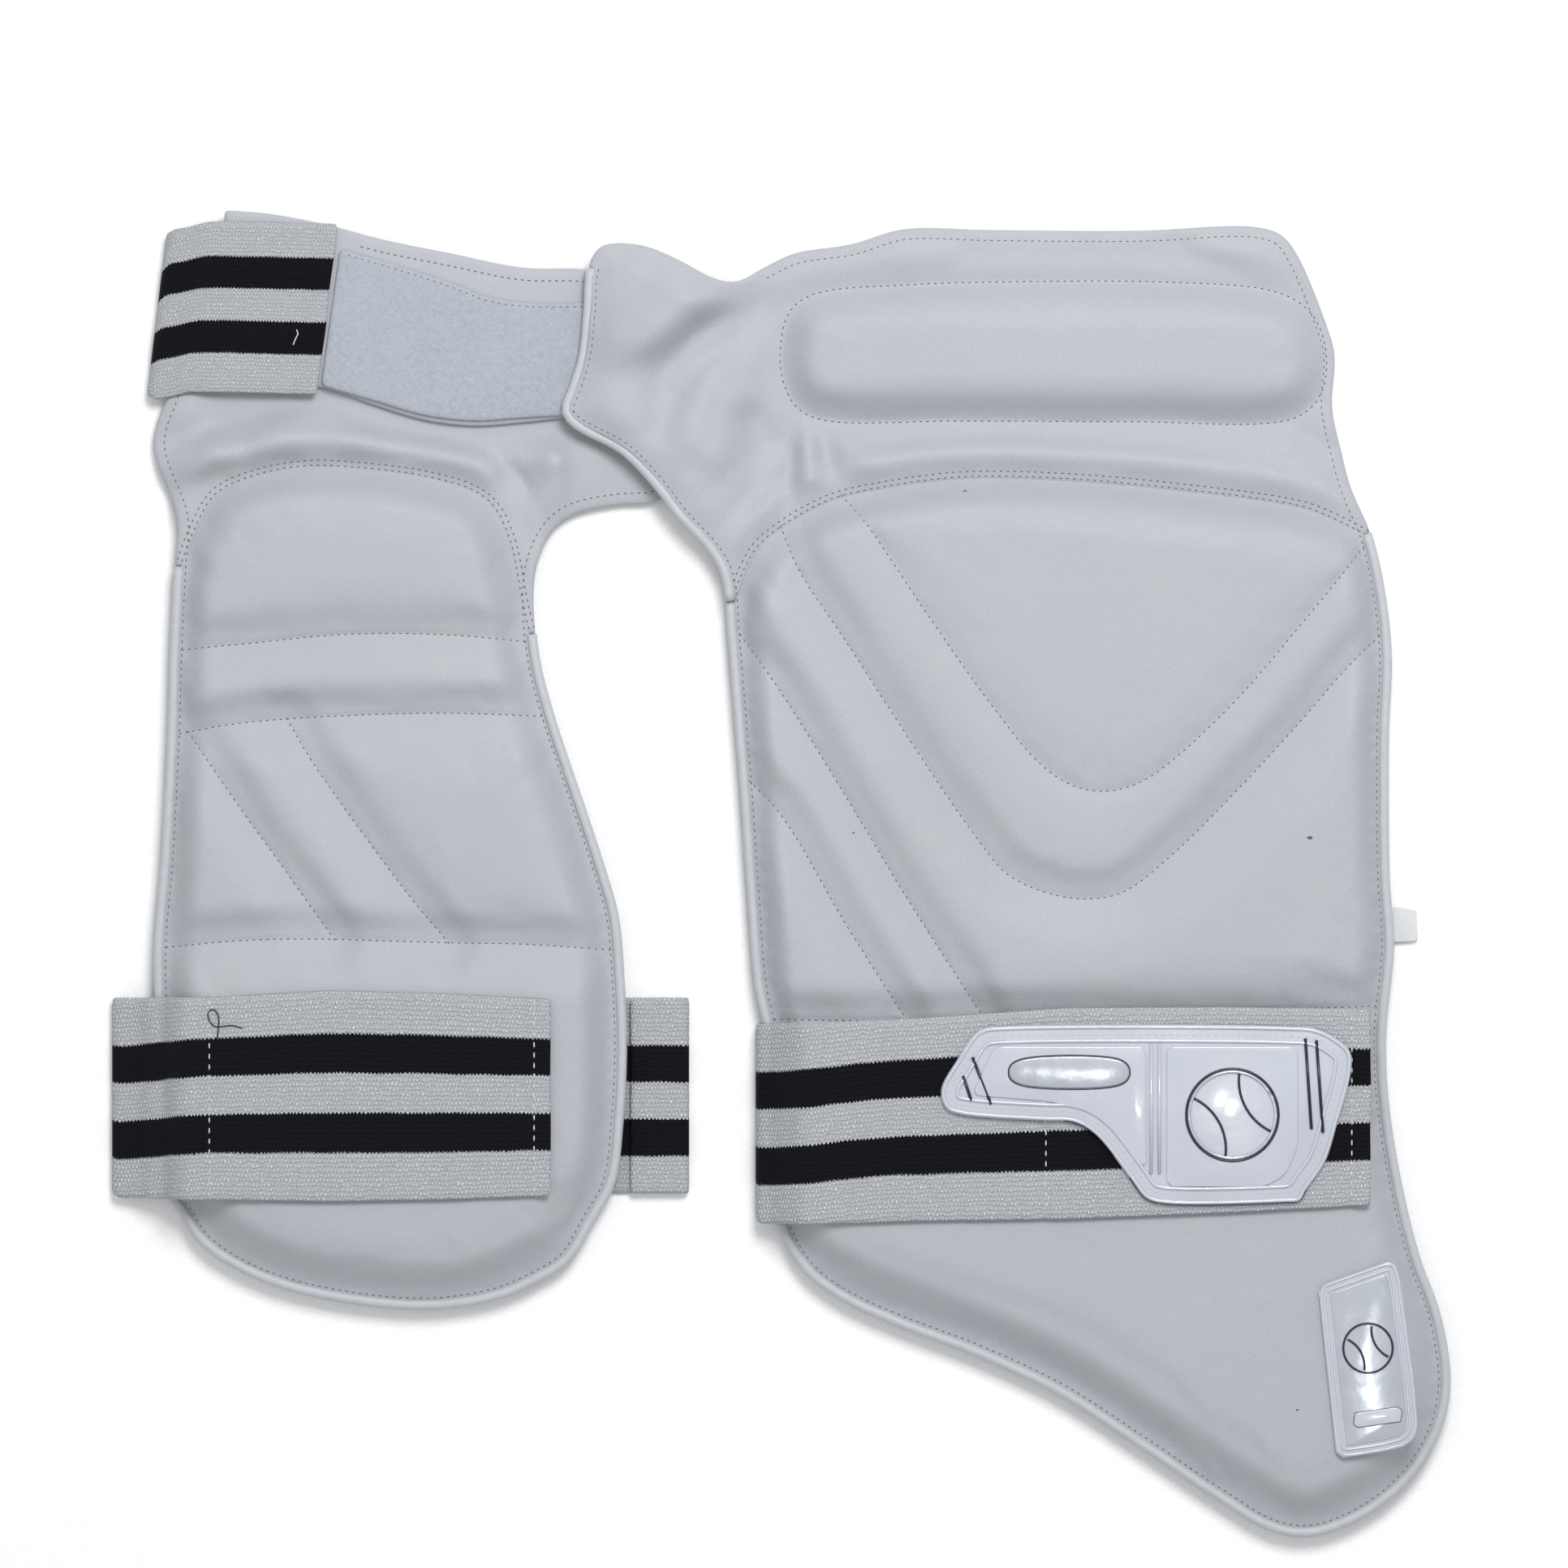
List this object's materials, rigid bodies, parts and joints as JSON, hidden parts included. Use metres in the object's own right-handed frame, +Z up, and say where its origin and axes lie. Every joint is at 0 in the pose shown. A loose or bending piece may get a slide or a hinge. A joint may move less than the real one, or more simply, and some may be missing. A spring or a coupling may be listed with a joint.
{
  "type": "cricket thigh guard",
  "caption": "Combination thigh guard lying flat: a large quilted outer guard with hip flap and a smaller inner guard, joined at the waist by a loop patch, with striped elastic straps.",
  "frame": {"origin": "middle of the guard's outline, on the surface that it lies on", "axes": "+X to the right across the two guards, +Y towards the waist, +Z up from the surface, out of the guard's front"},
  "size_m": [0.4638, 0.4592, 0.0249],
  "materials": {
    "leatherette": "matte white leatherette with a fine grain",
    "binding": "matte white bound edge",
    "lining": "matte white lining cloth",
    "striped_elastic": "coarse woven white elastic with two black stripes",
    "loop_pile": "brushed loop pile, white with a blue cast",
    "clear_moulding": "glossy white moulding with dark outlines",
    "silver_moulding": "glossy silver-grey moulding"
  },
  "bodies": {
    "root": {"hip_yoke": "leatherette", "hip_bolster": "leatherette", "outer_v_panel": "leatherette", "outer_v_rib": "leatherette", "outer_field_pad": "leatherette", "outer_rib_pad": "leatherette", "outer_corner_pad": "leatherette", "outer_lower_pad": "leatherette", "flap_piping": "binding", "outer_piping": "binding", "outer_back_panel": "lining", "outer_thigh_strap": "striped_elastic", "strap_badge": "clear_moulding", "corner_patch": "silver_moulding", "side_tag": "lining", "inner_yoke": "leatherette", "inner_top_pad": "leatherette", "inner_band_pad": "leatherette", "inner_wedge_pad": "leatherette", "inner_rib_pad": "leatherette", "inner_side_pad": "leatherette", "inner_lower_pad": "leatherette", "inner_piping": "binding", "inner_back_panel": "lining", "inner_thigh_strap": "striped_elastic", "waist_band": "leatherette", "loop_patch": "loop_pile", "waist_elastic": "striped_elastic"}
  },
  "joints": []
}
